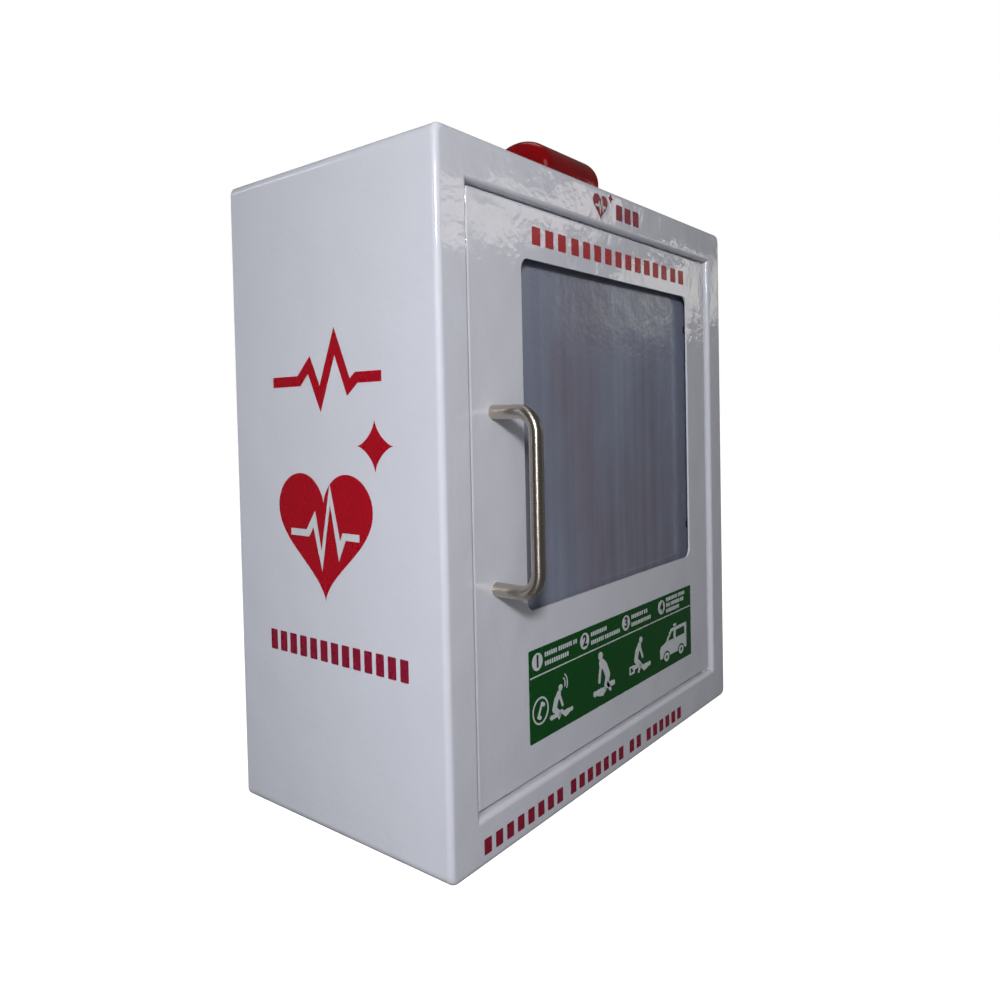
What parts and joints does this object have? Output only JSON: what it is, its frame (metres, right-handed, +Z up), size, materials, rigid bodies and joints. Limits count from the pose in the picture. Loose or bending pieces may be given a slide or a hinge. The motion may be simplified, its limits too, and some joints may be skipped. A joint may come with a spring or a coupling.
{
  "type": "defibrillator wall cabinet",
  "caption": "White steel wall cabinet for a defibrillator, with a hinged windowed door, bar handle, door-opening alarm and a red strobe lamp on its roof.",
  "frame": {"origin": "centre of the four wall screws, on the rear face of the back panel, which lies on the wall", "axes": "+Z up; +X to the right as seen from in front of the door; +Y into the wall, so the door faces -Y"},
  "size_m": [0.36, 0.2106, 0.439],
  "materials": {
    "cabinet_paint": "glossy white powder coat",
    "window_acrylic": "clear acrylic behind a grey-blue protective film",
    "handle_steel": "satin stainless steel",
    "zinc_steel": "bright zinc plate",
    "black_plastic": "fine moulded grain",
    "white_nylon": "plain moulded",
    "black_rubber": "matte",
    "magnet_ferrite": "ground ferrite and steel pole plates",
    "label_green": "printed vinyl film",
    "alarm_plastic": "light grey moulded ABS",
    "board_green": "solder mask with components",
    "battery_case": "printed tin",
    "brass": "nickel free machined brass",
    "switch_chrome": "polished plate",
    "cable_jacket": "soft PVC",
    "strobe_red": "translucent red polycarbonate",
    "strobe_base_red": "moulded red plastic",
    "led_clear": "clear red epoxy"
  },
  "bodies": {
    "cabinet": {"cabinet_shell": "cabinet_paint", "back_panel": "cabinet_paint", "door_stops": "cabinet_paint", "catch_bracket": "cabinet_paint", "switch_bracket": "cabinet_paint", "hinge_pins": "zinc_steel", "catch_body": "black_plastic", "catch_magnet": "magnet_ferrite", "catch_screws": "zinc_steel", "door_bumpers": "black_rubber", "switch_body": "black_plastic", "switch_screws": "zinc_steel", "switch_cable": "cable_jacket", "alarm_base": "alarm_plastic", "alarm_cover": "alarm_plastic", "alarm_cover_screws": "zinc_steel", "circuit_board": "board_green", "board_screws": "zinc_steel", "siren": "black_plastic", "battery": "battery_case", "battery_clip": "zinc_steel", "key_switch_barrel": "switch_chrome", "key_switch_nut": "brass", "strobe_gasket": "black_rubber", "strobe_base": "strobe_base_red", "strobe_lens": "strobe_red", "strobe_board": "board_green", "strobe_leds": "led_clear", "strobe_screws": "zinc_steel", "strobe_nuts": "zinc_steel", "cable_grommet": "black_rubber", "strobe_cable": "cable_jacket"},
    "door": {"door_panel": "cabinet_paint", "handle": "handle_steel", "handle_washers": "zinc_steel", "handle_screws": "zinc_steel", "window_pane": "window_acrylic", "pane_spacers": "black_rubber", "pane_washers": "zinc_steel", "pane_studs": "zinc_steel", "pane_nuts": "zinc_steel", "instruction_label": "label_green", "catch_strike": "zinc_steel", "switch_strike": "cabinet_paint", "hinge_bushes": "white_nylon"},
    "plunger": {"switch_plunger": "white_nylon"},
    "key": {"key_switch_rotor": "brass", "alarm_key": "switch_chrome"}
  },
  "joints": [
    {"name": "door_hinge", "type": "hinge", "parent": "cabinet", "child": "door", "pos_m": [0.148, -0.1715, 0], "axis": [0, 0, 1], "range_deg": [0, 100]},
    {"name": "switch_travel", "type": "slide", "parent": "cabinet", "child": "plunger", "axis": [0, -1, 0], "range_m": [0, 0.005]},
    {"name": "key_turn", "type": "hinge", "parent": "cabinet", "child": "key", "pos_m": [-0.033, -0.13, 0.178], "axis": [0, 1, 0], "range_deg": [0, 90]}
  ],
  "couplings": [
    {"joint": "switch_travel", "follows": "door_hinge", "m_per_rad": 0.00286}
  ]
}
